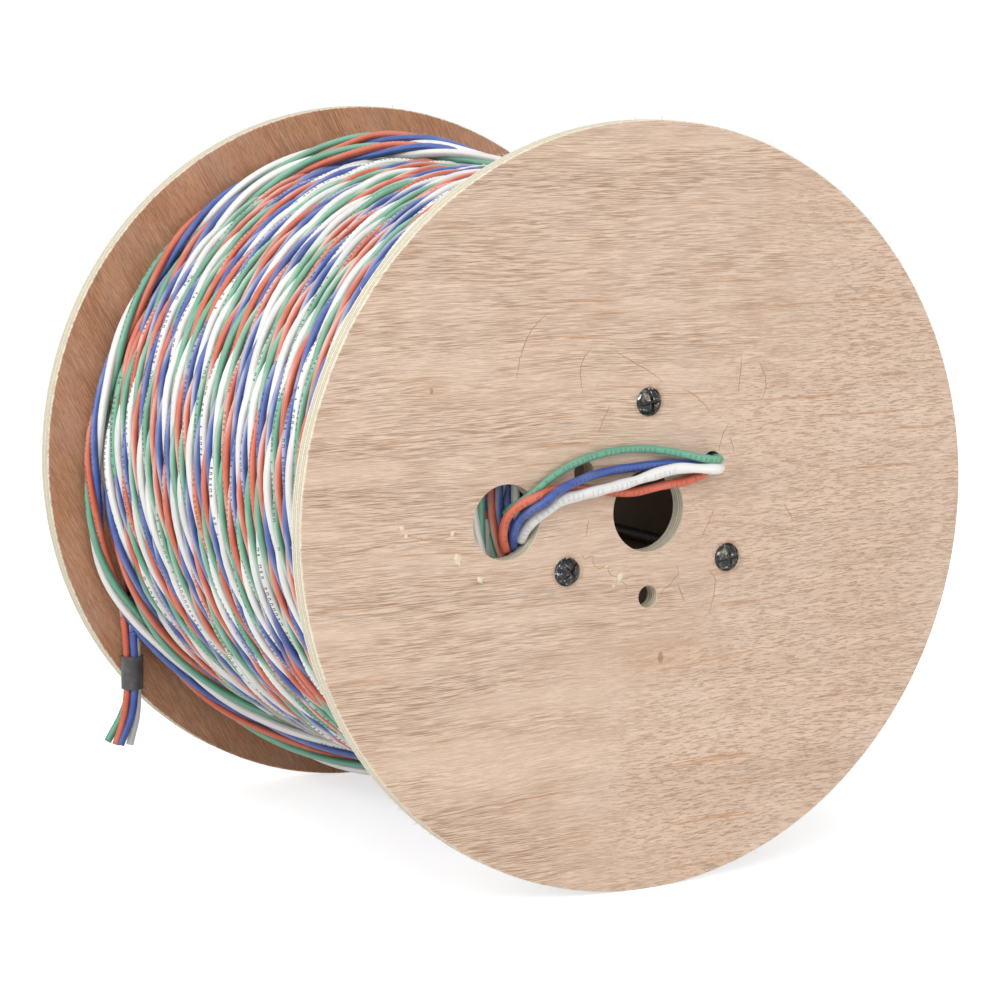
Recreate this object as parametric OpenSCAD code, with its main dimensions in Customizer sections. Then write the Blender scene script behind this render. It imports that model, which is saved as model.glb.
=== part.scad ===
// Wooden cable drum: two plywood flanges held on a fibre barrel by three long screws, with a
// full winding of four-conductor twisted cable, its inner ends tucked in a hole and its outer
// ends hanging. The axis of the drum is Y and the front flange faces -Y. The origin is on the
// axis, midway between the flanges, and +Z is up. Millimetres.

/* [Flanges] */
// Diameter of each plywood flange
flange_d = 355.6; // [340:0.1:420]
// Thickness of the plywood
flange_t = 9; // [7:0.5:15]
// Clear width between the flanges
traverse = 276; // [240:1:340]
// Width of the flat taken off each sharp rim edge
rim_chamfer = 0.5; // [0.2:0.1:1.5]
// Diameter of the arbor hole through both flanges
arbor_d = 38.1; // [25:0.1:50]
// Diameter of each drive-pin hole
pin_d = 10.5; // [8:0.1:12]
// Diameter of the circle on which the drive-pin holes lie
pin_circle_d = 80; // [74:1:86]
// Number of drive-pin holes in each flange
pin_holes = 3; // [3:3]
// Diameter of the hole that the inner ends of the cable come out of
start_d = 34.5; // [28:0.5:38]
// Distance from the axis to the middle of that hole
start_offset = 75; // [74:0.5:84]

/* [Barrel] */
// Outer diameter of the fibre barrel
barrel_d = 120; // [118:1:136]
// Wall of the barrel
barrel_wall = 5; // [3:0.5:6]
// Depth of the ring groove in each flange that the barrel ends stand in
groove_depth = 3; // [2:0.5:5]
// Clearance at each side of the barrel wall in its groove
groove_clearance = 0.3; // [0.2:0.05:0.5]

/* [Cable] */
// Diameter over the four twisted conductors
cable_d = 9.4; // [7:0.1:12]
// Diameter of one insulated conductor
conductor_d = 3.9; // [3:0.1:3.9]
// Layers of cable on the barrel
layers = 10; // [4:1:10]
// Rise from one layer to the next
layer_rise = 9.16; // [8:0.02:9.3]
// Widest spacing of neighbouring turns
turn_pitch = 9.9; // [9:0.1:13]
// Clearance between the loose outermost turn and the turns under it
turn_clearance = 0.15; // [0.1:0.05:0.5]
// Clearance between the winding and the wood or the barrel
winding_clearance = 0.3; // [0.2:0.1:1]
// Length of the tape band round the outer ends
tape_length = 17; // [10:1:18]
// Thickness of the tape band
tape_wall = 0.8; // [0.4:0.1:1.5]

/* [Screws] */
// Gap between the barrel of each tee nut and the ring groove round it
nut_gap = 0.5; // [0.4:0.1:3]
// Diameter of the screw shank
screw_d = 6; // [5:0.1:6]
// Diameter of the domed screw head
head_d = 13; // [10:0.5:16]
// Height of the domed screw head
head_h = 3.6; // [3:0.1:5]
// Depth that each head is pulled into the wood
head_sink = 0.7; // [0.3:0.1:1.5]
// Clearance round a screw in its hole
screw_clearance = 0.3; // [0.1:0.05:0.6]
// Diameter of the plate of each tee nut
nut_plate_d = 19; // [16:0.5:22]
// Thickness of the plate of each tee nut
nut_plate_t = 1.4; // [1:0.1:2]
// Outer diameter of the threaded barrel of each tee nut
nut_barrel_d = 8.4; // [7.6:0.1:10]
// Length of that threaded barrel, without the plate
nut_barrel_h = 6.6; // [4:0.1:7.4]

/* [Hidden] */
$fn = 96;

// Places along the axis
inner_y = traverse / 2;
outer_y = inner_y + flange_t;

// The screws stand inside the barrel at these angles, seen from the front, and the pin holes
// halfway between
screw_circle_d = barrel_d - 2 * (barrel_wall + groove_clearance + nut_gap) - nut_barrel_d;
screw_angles = [90, 210, 330];
first_pin_angle = 30;
// Each driver slot was left at another angle when its screw was tightened
slot_angles = [112, 45, 8];

// Driver recess of a screw: a slot across the head and a deeper cross in the middle
slot_w = 1.5;
slot_depth = 1.3;
cross_w = 2.3;
cross_len = 7.4;
cross_depth = 2.2;

// The screw ends this far inside the back face
screw_end_inset = 0.8;
// A tee nut has this many notches round its plate, where its prongs were bent out
nut_notches = 4;
nut_notch_w = 4;
nut_notch_depth = 2.6;
// A cut runs this far past the face that it opens
past = 1;

// Winding
winding_w = traverse - 2 * winding_clearance;
winding_r0 = barrel_d / 2 + winding_clearance;
first_layer_r = winding_r0 + cable_d / 2;
last_layer_r = first_layer_r + (layers - 1) * layer_rise;
turn_gaps = ceil((winding_w - cable_d) / turn_pitch);
fitted_pitch = (winding_w - cable_d) / turn_gaps;
// The outermost turn lies in the valley between the last two turns beside the back flange
valley_rise = sqrt(cable_d * cable_d - fitted_pitch * fitted_pitch / 4);
outer_turn_r = last_layer_r + valley_rise + turn_clearance;

// Cords are swept with this many sides
cord_sides = 8;

// The four inner ends: out of the winding, up through the start hole, across the face and
// into the pin hole at the upper right
lead_red_route = [
    [-71.4, -139.6, -13.8], [-74.8, -143.4, -5.6], [-75.1, -146.6, 1], [-71.2, -151, 7.5],
    [-65.5, -153.6, 10.9], [-62.5, -154.5, 12], [-56, -152.1, 13.2], [-48, -149.8, 13.9],
    [-26, -149.2, 11.2], [-12, -149.2, 9.4], [6, -149.2, 11.4], [20, -149.5, 13],
    [28.2, -150.3, 16], [31.6, -148.5, 17.8], [32.6, -145, 18], [32.6, -130, 18]
];
lead_green_route = [
    [-71, -138.6, 2.5], [-70, -142.5, 5.5], [-66.5, -147.3, 9.4], [-61.5, -150, 13.6],
    [-55.5, -150.2, 18], [-37, -149.6, 26], [-19, -149.3, 29], [0, -150, 28.6],
    [14, -152.4, 26], [27, -154.6, 22.9], [33.2, -154.2, 22.1], [36.2, -151, 22],
    [36.8, -147, 22], [36.8, -130, 22]
];
lead_blue_route = [
    [-67.2, -138.8, -12.6], [-69.4, -143.4, -6], [-69, -147.8, 0.6], [-65, -153.6, 6.2],
    [-62, -156.6, 8.6], [-58.8, -157.8, 11.4], [-52.4, -155.8, 14.2], [-43, -153.6, 16.8],
    [-32.3, -151.2, 19], [-6.3, -149.3, 21], [8, -149.3, 21.4], [18.7, -149.5, 21],
    [28.2, -150.4, 21.3], [31.6, -148.5, 22], [32.6, -145, 22], [32.6, -130, 22]
];
lead_white_route = [
    [-63.6, -139.3, -9.8], [-63.2, -143, -5], [-60.8, -149, 1.2], [-55.8, -152, 5.1],
    [-51.4, -153.2, 8.5], [-40.6, -153.4, 10.6], [-27.1, -153.4, 12.6], [-11.5, -153, 15.1],
    [-2, -153, 17.2], [9.7, -153.6, 19.3], [27.2, -154.6, 18.4], [33.4, -153.8, 17.9],
    [36.2, -151, 18], [36.8, -147, 18], [36.8, -130, 18]
];

// The four outer ends come out under the outermost turn, low on the left beside the back
// flange, hang through the tape and splay
tape_x = -136.35;
tape_y = 131.5;
tape_top = -100.4;
tail_red_route = [
    [-140.7, 131.5, -80], [-139.7, 131.5, -91], [-139.2, 131.5, -99.4],
    [-139.2, 131.5, -118.6], [-141.4, 131, -131.7], [-146.4, 130.5, -145.9]
];
tail_green_route = [
    [-138, 134.35, -78.5], [-136.8, 134.35, -91], [-136.35, 134.35, -99.4],
    [-136.35, 134.35, -118.6], [-140.9, 135.4, -131.7], [-149, 135.3, -144.9]
];
tail_blue_route = [
    [-137, 128.65, -87.5], [-136.5, 128.65, -95], [-136.35, 128.65, -99.4],
    [-136.35, 128.65, -118.6], [-137.8, 128.1, -131.7], [-142.4, 128.5, -146.9]
];
tail_white_route = [
    [-133.85, 131.5, -90.5], [-133.6, 131.5, -95], [-133.5, 131.5, -99.4],
    [-133.5, 131.5, -118.6], [-134.4, 131.5, -131.7], [-138.3, 131.5, -146.9]
];
// The bundle of four inside the tape
bundle_d = conductor_d + 2 * 2.85;
tape_clearance = 0.1;

// Place children whose axis is Z on the drum: their Z becomes the drum's axis
module on_axis(x = 0, y = 0, z = 0) {
    translate([x, y, z]) rotate([-90, 0, 0]) children();
}

// Children at a point of a circle round the axis, at an angle seen from the front
module on_circle(circle_d, angle, y) {
    on_axis(circle_d / 2 * cos(angle), y, circle_d / 2 * sin(angle)) children();
}

// Plain plywood disc from y to y + flange_t, with its holes
module flange_blank(y) {
    difference() {
        on_axis(y = y) rotate_extrude() polygon([
            [0, 0], [flange_d / 2 - rim_chamfer, 0], [flange_d / 2, rim_chamfer],
            [flange_d / 2, flange_t - rim_chamfer], [flange_d / 2 - rim_chamfer, flange_t],
            [0, flange_t]
        ]);
        on_axis(y = y - past) cylinder(h = flange_t + 2 * past, d = arbor_d);
        for (i = [0 : pin_holes - 1])
            on_circle(pin_circle_d, first_pin_angle + i * 360 / pin_holes, y - past)
                cylinder(h = flange_t + 2 * past, d = pin_d);
    }
}

// Ring groove for the end of the barrel, of the given depth along the axis from y
module barrel_groove(y, depth) {
    on_axis(y = y) difference() {
        cylinder(h = depth, d = barrel_d + 2 * groove_clearance);
        translate([0, 0, -past])
            cylinder(h = depth + 2 * past, d = barrel_d - 2 * barrel_wall - 2 * groove_clearance);
    }
}

module flange_front() {
    color([0.85, 0.74, 0.65]) difference() {
        flange_blank(-outer_y);
        barrel_groove(-inner_y - groove_depth, groove_depth + past);
        on_axis(x = -start_offset, y = -outer_y - past)
            cylinder(h = flange_t + 2 * past, d = start_d);
        for (a = screw_angles) {
            on_circle(screw_circle_d, a, -outer_y - past)
                cylinder(h = flange_t + 2 * past, d = screw_d + 2 * screw_clearance);
            on_circle(screw_circle_d, a, -outer_y - past)
                cylinder(h = past + head_sink, d = head_d + 2 * screw_clearance);
        }
    }
}

module flange_back() {
    color([0.70, 0.53, 0.42]) difference() {
        flange_blank(inner_y);
        barrel_groove(inner_y - past, groove_depth + past);
        for (a = screw_angles) {
            on_circle(screw_circle_d, a, inner_y - past)
                cylinder(h = flange_t + 2 * past, d = nut_barrel_d + 2 * screw_clearance);
            on_circle(screw_circle_d, a, outer_y - nut_plate_t)
                cylinder(h = nut_plate_t + past, d = nut_plate_d + 2 * screw_clearance);
        }
    }
}

// Spiral-wound fibre tube that stands in the grooves of both flanges
module barrel() {
    barrel_len = traverse + 2 * groove_depth;
    color([0.55, 0.42, 0.30]) on_axis(y = -barrel_len / 2) difference() {
        cylinder(h = barrel_len, d = barrel_d);
        translate([0, 0, -past])
            cylinder(h = barrel_len + 2 * past, d = barrel_d - 2 * barrel_wall);
    }
}

// Section of the winding on one side of the axis: the radius is X and the drum's axis is Y.
// The outer layer and both ends are rows of round turns.
module winding_section() {
    end_y = (winding_w - cable_d) / 2;
    translate([winding_r0, -end_y]) square([last_layer_r - winding_r0, 2 * end_y]);
    for (i = [0 : turn_gaps])
        translate([last_layer_r, -end_y + i * fitted_pitch]) circle(d = cable_d, $fn = 32);
    for (side = [-1, 1], j = [0 : layers - 2])
        translate([first_layer_r + j * layer_rise, side * end_y]) circle(d = cable_d, $fn = 32);
}

module cable_winding() {
    color([0.62, 0.66, 0.78]) on_axis() rotate_extrude($fn = 128) winding_section();
}

// Last turn of the cable, loose on the outer layer beside the back flange
module outer_turn() {
    turn_y = (winding_w - cable_d - fitted_pitch) / 2;
    color([0.52, 0.60, 0.74]) on_axis() rotate_extrude($fn = 128)
        translate([outer_turn_r, turn_y]) circle(d = cable_d, $fn = 32);
}

// Screw seen from its head: the head's seat is at z = 0 and the shank runs to +Z
module screw(slot_angle) {
    shank_len = 2 * outer_y - head_sink - screw_end_inset;
    dome_r = (head_d * head_d / 4 + head_h * head_h) / (2 * head_h);
    difference() {
        union() {
            // The dome is the part of a sphere that stands above the seat
            rotate_extrude() intersection() {
                translate([0, dome_r - head_h]) circle(r = dome_r);
                translate([0, -head_h]) square([head_d / 2, head_h]);
            }
            cylinder(h = shank_len, d = screw_d);
        }
        rotate([0, 0, -slot_angle]) {
            translate([-head_d, -slot_w / 2, -head_h - past])
                cube([2 * head_d, slot_w, past + slot_depth]);
            translate([-cross_len / 2, -cross_w / 2, -head_h - past])
                cube([cross_len, cross_w, past + cross_depth]);
            translate([-cross_w / 2, -cross_len / 2, -head_h - past])
                cube([cross_w, cross_len, past + cross_depth]);
        }
    }
}

module placed_screw(index) {
    color([0.28, 0.29, 0.30])
        on_circle(screw_circle_d, screw_angles[index], -outer_y + head_sink)
            screw(slot_angles[index]);
}

// Tee nut pressed into the back flange from outside: a notched plate and a barrel for the screw
module tee_nut(index) {
    color([0.62, 0.62, 0.60])
        on_circle(screw_circle_d, screw_angles[index], outer_y - nut_plate_t) difference() {
            union() {
                cylinder(h = nut_plate_t, d = nut_plate_d);
                translate([0, 0, -nut_barrel_h]) cylinder(h = nut_barrel_h + past / 2, d = nut_barrel_d);
            }
            translate([0, 0, -nut_barrel_h - past])
                cylinder(h = nut_barrel_h + nut_plate_t + 2 * past, d = screw_d + 0.2);
            for (k = [0 : nut_notches - 1])
                rotate([0, 0, (k + 0.5) * 360 / nut_notches])
                    translate([nut_plate_d / 2 - nut_notch_depth, -nut_notch_w / 2, -past / 2])
                        cube([nut_notch_depth + past, nut_notch_w, nut_plate_t + past]);
        }
}

// Unit vector
function unit(v) = v / norm(v);

// Direction of a route at point i
function heading(route, i) =
    unit(route[min(i + 1, len(route) - 1)] - route[max(i - 1, 0)]);

// Sideways vector at point i: the one before it, turned square to the heading
function sideways(route, i) =
    i == 0
        ? unit(cross(heading(route, 0), [1, 0.2, 0.1]))
        : let (before = sideways(route, i - 1), ahead = heading(route, i))
            unit(before - (before * ahead) * ahead);

// Ring of points round the route at point i
function ring(route, i, r) =
    let (s = sideways(route, i), t = cross(heading(route, i), s))
        [for (k = [0 : cord_sides - 1])
            let (a = k * 360 / cord_sides) route[i] + r * (cos(a) * s + sin(a) * t)];

// Round cord swept along the points of a route, with flat ends
module cord(route) {
    last = len(route) - 1;
    points = [for (i = [0 : last]) each ring(route, i, conductor_d / 2)];
    sides = [
        for (i = [0 : last - 1], k = [0 : cord_sides - 1])
            let (a = i * cord_sides, b = a + cord_sides, n = (k + 1) % cord_sides)
                each [[a + k, b + k, b + n], [a + k, b + n, a + n]]
    ];
    start_cap = [[for (k = [0 : cord_sides - 1]) k]];
    end_cap = [[for (k = [cord_sides - 1 : -1 : 0]) last * cord_sides + k]];
    polyhedron(points = points, faces = concat(start_cap, sides, end_cap));
}

module red_cord(route) { color([0.85, 0.36, 0.28]) cord(route); }
module green_cord(route) { color([0.35, 0.65, 0.50]) cord(route); }
module blue_cord(route) { color([0.30, 0.38, 0.70]) cord(route); }
module white_cord(route) { color([0.92, 0.91, 0.88]) cord(route); }

// Band of tape round the four outer ends
module tape_band() {
    inner_d = bundle_d + 2 * tape_clearance;
    color([0.24, 0.24, 0.24])
        translate([tape_x, tape_y, tape_top - tape_length]) difference() {
            cylinder(h = tape_length, d = inner_d + 2 * tape_wall, $fn = 32);
            translate([0, 0, -past]) cylinder(h = tape_length + 2 * past, d = inner_d, $fn = 32);
        }
}

flange_front();
flange_back();
barrel();
cable_winding();
outer_turn();
placed_screw(0);  // screw_top
placed_screw(1);  // screw_left
placed_screw(2);  // screw_right
tee_nut(0);  // tee_nut_top
tee_nut(1);  // tee_nut_left
tee_nut(2);  // tee_nut_right
red_cord(lead_red_route);  // lead_red
green_cord(lead_green_route);  // lead_green
blue_cord(lead_blue_route);  // lead_blue
white_cord(lead_white_route);  // lead_white
red_cord(tail_red_route);  // tail_red
green_cord(tail_green_route);  // tail_green
blue_cord(tail_blue_route);  // tail_blue
white_cord(tail_white_route);  // tail_white
tape_band();
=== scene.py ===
"""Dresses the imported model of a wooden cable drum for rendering: plywood, twisted cable, its
loose ends, the fixings and a plain studio stage. All lengths are metres. The drum's axis is Y,
the front flange faces -Y and +Z is up."""

import math

import bpy
import numpy as np
from bpy.props import FloatProperty, FloatVectorProperty, IntProperty, PointerProperty
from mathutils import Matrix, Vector


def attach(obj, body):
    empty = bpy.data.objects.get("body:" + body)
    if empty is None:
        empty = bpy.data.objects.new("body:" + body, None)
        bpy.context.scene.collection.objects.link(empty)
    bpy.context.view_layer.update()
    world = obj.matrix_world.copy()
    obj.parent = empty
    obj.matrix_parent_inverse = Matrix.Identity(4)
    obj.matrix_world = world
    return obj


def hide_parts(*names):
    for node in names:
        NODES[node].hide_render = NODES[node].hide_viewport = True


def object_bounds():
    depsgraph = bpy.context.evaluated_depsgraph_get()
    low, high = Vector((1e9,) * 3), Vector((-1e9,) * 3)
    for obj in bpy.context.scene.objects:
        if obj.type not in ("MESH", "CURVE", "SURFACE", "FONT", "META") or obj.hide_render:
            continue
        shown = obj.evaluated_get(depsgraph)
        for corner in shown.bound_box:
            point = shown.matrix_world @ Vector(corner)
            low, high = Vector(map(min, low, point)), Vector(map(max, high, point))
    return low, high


bl_info = {
    "name": "Wooden cable drum",
    "version": (1, 0, 0),
    "blender": (4, 5, 0),
    "location": "View3D > Sidebar > Cable drum",
    "description": "Builds the winding, ends, wood and stage of a plywood cable drum",
    "category": "Object",
}

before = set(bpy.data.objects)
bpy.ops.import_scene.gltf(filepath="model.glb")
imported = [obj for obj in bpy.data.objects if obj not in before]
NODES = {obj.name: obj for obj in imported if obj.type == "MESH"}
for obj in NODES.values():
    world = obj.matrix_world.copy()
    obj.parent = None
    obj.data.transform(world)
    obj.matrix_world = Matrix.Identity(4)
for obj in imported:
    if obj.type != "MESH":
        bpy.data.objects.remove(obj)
CAD_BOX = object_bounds()
MM = 0.001
TURN = 2 * math.pi

# Distance of the flanges' faces from the middle of the drum, and the thickness of a ply
OUTER_FACE = 0.147
INNER_FACE = 0.138
PLY = 0.0018

# Length of a cell with one printed mark, and of a stretch that is printed or bare
MARK_CELL = 0.0026
MARK_STRETCH = 0.16

# Step of a smoothed route, and how far from the axis a torn fibre may reach
ROUTE_STEP = 0.0012
FIBRE_REACH = 0.1793

# The four conductors in the order in which they follow each other round the bundle
CONDUCTORS = ("red", "green", "white", "blue")

# Routes of the inner ends, in millimetres: out of the start hole, over the face, into a pin hole
LEAD_ROUTES = {
    "red": [
        (-71.4, -139.6, -13.8), (-74.8, -143.4, -5.6), (-75.1, -146.6, 1),
        (-71.2, -151, 7.5), (-65.5, -153.6, 10.9), (-62.5, -154.5, 12), (-56, -152.1, 13.2),
        (-48, -149.8, 13.9), (-26, -149.2, 11.2), (-12, -149.2, 9.4), (6, -149.2, 11.4),
        (20, -149.5, 13), (28.2, -150.3, 16), (31.6, -148.5, 17.8), (32.6, -145, 18),
        (32.6, -130, 18),
    ],
    "green": [
        (-71, -138.6, 2.5), (-70, -142.5, 5.5), (-66.5, -147.3, 9.4), (-61.5, -150, 13.6),
        (-55.5, -150.2, 18), (-37, -149.6, 26), (-19, -149.3, 29), (0, -150, 28.6),
        (14, -152.4, 26), (27, -154.6, 22.9), (33.2, -154.2, 22.1), (36.2, -151, 22),
        (36.8, -147, 22), (36.8, -130, 22),
    ],
    "blue": [
        (-67.2, -138.8, -12.6), (-69.4, -143.4, -6), (-69, -147.8, 0.6), (-65, -153.6, 6.2),
        (-62, -156.6, 8.6), (-58.8, -157.8, 11.4), (-52.4, -155.8, 14.2),
        (-43, -153.6, 16.8), (-32.3, -151.2, 19), (-6.3, -149.3, 21), (8, -149.3, 21.4),
        (18.7, -149.5, 21), (28.2, -150.4, 21.3), (31.6, -148.5, 22), (32.6, -145, 22),
        (32.6, -130, 22),
    ],
    "white": [
        (-63.6, -139.3, -9.8), (-63.2, -143, -5), (-60.8, -149, 1.2), (-55.8, -152, 5.1),
        (-51.4, -153.2, 8.5), (-40.6, -153.4, 10.6), (-27.1, -153.4, 12.6),
        (-11.5, -153, 15.1), (-2, -153, 17.2), (9.7, -153.6, 19.3), (27.2, -154.6, 18.4),
        (33.4, -153.8, 17.9), (36.2, -151, 18), (36.8, -147, 18), (36.8, -130, 18),
    ],
}

# Routes of the outer ends, in millimetres: down from the winding, through the tape, splayed
TAIL_ROUTES = {
    "red": [
        (-140.7, 131.5, -80), (-139.7, 131.5, -91), (-139.2, 131.5, -99.4),
        (-139.2, 131.5, -118.6), (-141.4, 131, -131.7), (-146.4, 130.5, -145.9),
    ],
    "green": [
        (-138, 134.35, -78.5), (-136.8, 134.35, -91), (-136.35, 134.35, -99.4),
        (-136.35, 134.35, -118.6), (-140.9, 135.4, -131.7), (-149, 135.3, -144.9),
    ],
    "blue": [
        (-137, 128.65, -87.5), (-136.5, 128.65, -95), (-136.35, 128.65, -99.4),
        (-136.35, 128.65, -118.6), (-138.6, 128.3, -131.7), (-144.6, 129.0, -145.9),
    ],
    "white": [
        (-133.85, 131.5, -90.5), (-133.6, 131.5, -95), (-133.5, 131.5, -99.4),
        (-133.5, 131.5, -118.6), (-134.4, 131.5, -131.7), (-138.3, 131.5, -146.9),
    ],
}

# Middle line of the loose outermost turn: angle in degrees from +X towards +Z, then radius and
# place along the axis in millimetres. It climbs out of the layer on top, crosses to the back
# flange, runs down beside it and sags to the front again underneath.
LOOSE_TURN = [
    (48, 142, -8), (60, 146, 12), (71, 149, 30), (77, 152, 45), (81, 156, 62),
    (84.5, 160, 80), (88, 161.5, 98), (92, 161.5, 113), (98, 158.5, 123), (107, 155.8, 127.5),
    (118, 155, 128), (132, 155.2, 127.5), (150, 154.6, 127), (164, 155, 127),
    (174, 157.2, 127), (186, 159, 127), (200, 160.6, 127), (210, 158.5, 126.5),
    (222, 156.2, 125), (232, 157, 122), (241, 158.5, 115.5), (246.5, 160, 104),
    (249.5, 160.8, 88), (251.5, 160.5, 70), (253.5, 159, 52), (256.5, 156, 34),
    (262, 152, 17), (272, 148, 5), (286, 144, -2),
]

# A second turn, heaped in front of the first where both cross over the top
SECOND_TURN = [
    (52, 140, -14), (62, 144.5, 4), (70, 148.5, 22), (75.5, 151.5, 36), (80, 153.5, 51),
    (84, 155.5, 67), (88, 156.8, 83), (92.5, 156.8, 98), (98, 155.6, 109), (105, 154.4, 115.5),
    (114, 153, 118), (126, 151.5, 118), (140, 149, 117.5), (154, 145.5, 117),
]

# A third turn, sagging under the winding beside the outermost one
THIRD_TURN = [
    (140, 145, 118), (158, 147.5, 118.5), (176, 150, 119), (194, 151.5, 119.5), (208, 152.5, 119),
    (220, 152.5, 118), (229, 152.5, 115), (236, 153, 108), (241, 153.5, 96), (244, 153.8, 81),
    (246.5, 153.6, 65), (249, 153, 48), (252, 151.5, 31), (258, 149, 15), (268, 145, 3),
    (282, 141, -5),
]

# Twist of the loose turns: angle round the drum and phase of the twist, both in degrees
LOOSE_PHASE = [
    (48, 457), (84.3, 97), (88.6, 9), (94, -77), (108, -159), (121, -242), (130, -331),
    (140, -418), (152, -505), (163, -595), (176, -685), (186, -777), (199, -870), (212, -965),
    (231, -1064), (245, -1163), (254, -1259), (262, -1355), (286, -1480),
]

# Loose turns: table, seed, and how far the phase of its twist is ahead, in degrees
LOOSE = ((LOOSE_TURN, 2, 0), (SECOND_TURN, 3, 15), (THIRD_TURN, 4, 180))

# Phases of the twist in the four innermost end rows, where the start hole shows them
END_PHASES = (0.25 * math.pi, 1.75 * math.pi, 0.75 * math.pi, math.pi)

# Width of each inner end in millimetres, and how lumpy it is
LEAD_WIDTHS = {"red": (4.1, 0.02), "green": (3.6, 0.02), "blue": (4.1, 0.03), "white": (5.0, 0.1)}

# Screw centres, as X and Z in millimetres, and the turn of each slot in degrees
SCREWS = {"top": (0.0, 50.0, 98.0), "left": (-43.3, -25.0, 45.0), "right": (43.3, -25.0, 8.0)}

# Thin scratches on the front face, as X and Z in millimetres
SCRATCHES = [
    [(-53.3, 93.1), (-60.8, 87.3), (-66.6, 77.3), (-70.6, 63.0)],
    [(-30.8, 76.6), (-35.7, 70.6), (-36.6, 64.6), (-35.2, 55.9)],
    [(-18.6, 74.1), (-6.3, 67.4), (1.9, 62.6), (7.7, 58.8)],
    [(17.6, 55.2), (23.9, 52.2), (29.2, 47.9), (33.4, 43.3)],
    [(59.7, 65.8), (63.6, 58.5), (63.1, 50.5), (60.5, 47.0)],
    [(50.6, 69.9), (49.7, 59.2), (48.7, 50.4)],
    [(44.1, 38.2), (40.4, 32.2), (38.3, 25.2)],
    [(44.6, 31.9), (45.9, 27.4), (46.9, 22.9)],
    [(-21.0, 49.9), (-24.0, 43.9), (-27.5, 37.6)],
    [(35.9, -1.9), (32.3, -9.0), (28.5, -15.7)],
    [(74.6, -1.9), (77.9, -6.1), (80.3, -10.6)],
    [(15.2, -26.7), (16.6, -29.1), (12.5, -34.6), (5.8, -39.4)],
    [(33.5, -30.5), (36.8, -35.1), (36.4, -41.3), (34.6, -47.4), (32.8, -50.4)],
    [(16.1, -34.9), (18.0, -39.7), (19.9, -44.5)],
    [(-32.0, -1.9), (-32.9, -5.6), (-33.7, -9.4)],
]

# Flakes torn off the front face: X, Z, half width and half height in millimetres, and turn
FLAKES = [
    (-100.1, -14.5, 1.8, 2.6, 0.4), (-88.8, -24.9, 1.5, 1.6, 0.9), (-15.2, -29.6, 1.6, 2.2, -0.5),
    (-128.0, 1.3, 1.3, 1.1, 0.2), (-102.6, -3.0, 1.1, 1.2, 0.6), (-126.0, -2.4, 0.9, 1.0, 0.0),
    (-22.5, -24.0, 0.9, 0.8, 0.3), (-18.6, -33.5, 0.8, 1.1, 1.2),
]

# Loose curls of fibre on the front face, as X and Z in millimetres
CURLS = [
    [(-126.0, -2.0), (-121.5, -3.4), (-114.0, -4.2), (-105.4, -4.2), (-102.4, -2.6)],
    [(-30.5, -20.5), (-27.0, -24.5), (-22.5, -24.0), (-20.5, -28.0), (-16.0, -29.5)],
    [(-36.0, -17.0), (-33.5, -19.8), (-30.5, -18.5), (-29.0, -22.0)],
    [(-14.5, -31.5), (-11.5, -34.0), (-12.5, -37.5)],
]

# Soft lamps: name, place and size in metres
LAMPS = (
    ("key", (-0.8, -2.1, 1.7), 1.3), ("fill", (1.2, -2.4, 0.8), 1.6),
    ("top", (-0.5, 0.1, 2.2), 1.4), ("side", (-2.0, -0.55, 1.0), 1.1),
)

# Knots of the front veneer: X, Z and half height in millimetres
KNOTS = [(-113.0, 61.0, 1.6), (7.0, -69.0, 3.0)]


def metres(name, description, default, low=0.001, high=0.01):
    """Property for a length in metres."""
    return FloatProperty(name=name, description=description, default=default, min=low, max=high,
                         unit="LENGTH", precision=4)


def tint(name, description, default):
    """Property for a linear colour."""
    return FloatVectorProperty(name=name, description=description, default=default,
                               subtype="COLOR", min=0, max=1)


def site(name, description, default):
    """Property for a place in metres."""
    return FloatVectorProperty(name=name, description=description, default=default,
                               subtype="TRANSLATION", unit="LENGTH")


def watts(name, description, default):
    """Property for the power of a lamp in watts."""
    return FloatProperty(name=name, description=description, default=default, min=0, max=500,
                         unit="POWER")


class DrumSizes(bpy.types.PropertyGroup):
    """Sizes of the cable on the drum"""

    conductor: metres("Conductor", "Diameter of one insulated conductor", 0.0039)
    white_conductor: metres(
        "White conductor", "Diameter of the white conductor, which is wider", 0.0044)
    spread_along: metres(
        "Spread along the drum", "How far a conductor's middle swings along the drum's axis in "
        "its bundle", 0.00292)
    spread_out: metres(
        "Spread outwards", "How far a conductor's middle swings in and out in its bundle", 0.00245)
    lay: metres("Lay", "Length of cable in which the bundle twists once", 0.1055, 0.03, 0.5)
    layer_radius: metres(
        "Outer layer", "Distance from the axis to the outer layer's middle", 0.1474, 0.08, 0.17)
    turns: IntProperty(
        name="Turns", description="Turns in the outer layer", default=28, min=2, max=60)
    end_layers: IntProperty(
        name="End rows", description="Turns that show on each end of the winding", default=9,
        min=0, max=12)


class DrumColours(bpy.types.PropertyGroup):
    """Colours of the drum's wood and insulation"""

    front_wood: tint("Front wood", "Veneer of the front flange", (0.750, 0.562, 0.432))
    back_wood: tint("Back wood", "Veneer of the back flange", (0.56, 0.280, 0.155))
    ply_edge: tint("Ply edge", "Cut edges of the plywood", (0.80, 0.735, 0.575))
    red: tint("Red", "Insulation of the red conductor", (0.60, 0.122, 0.060))
    green: tint("Green", "Insulation of the green conductor", (0.130, 0.365, 0.240))
    blue: tint("Blue", "Insulation of the blue conductor", (0.045, 0.095, 0.345))
    white: tint("White", "Insulation of the white conductor", (0.80, 0.79, 0.765))


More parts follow.
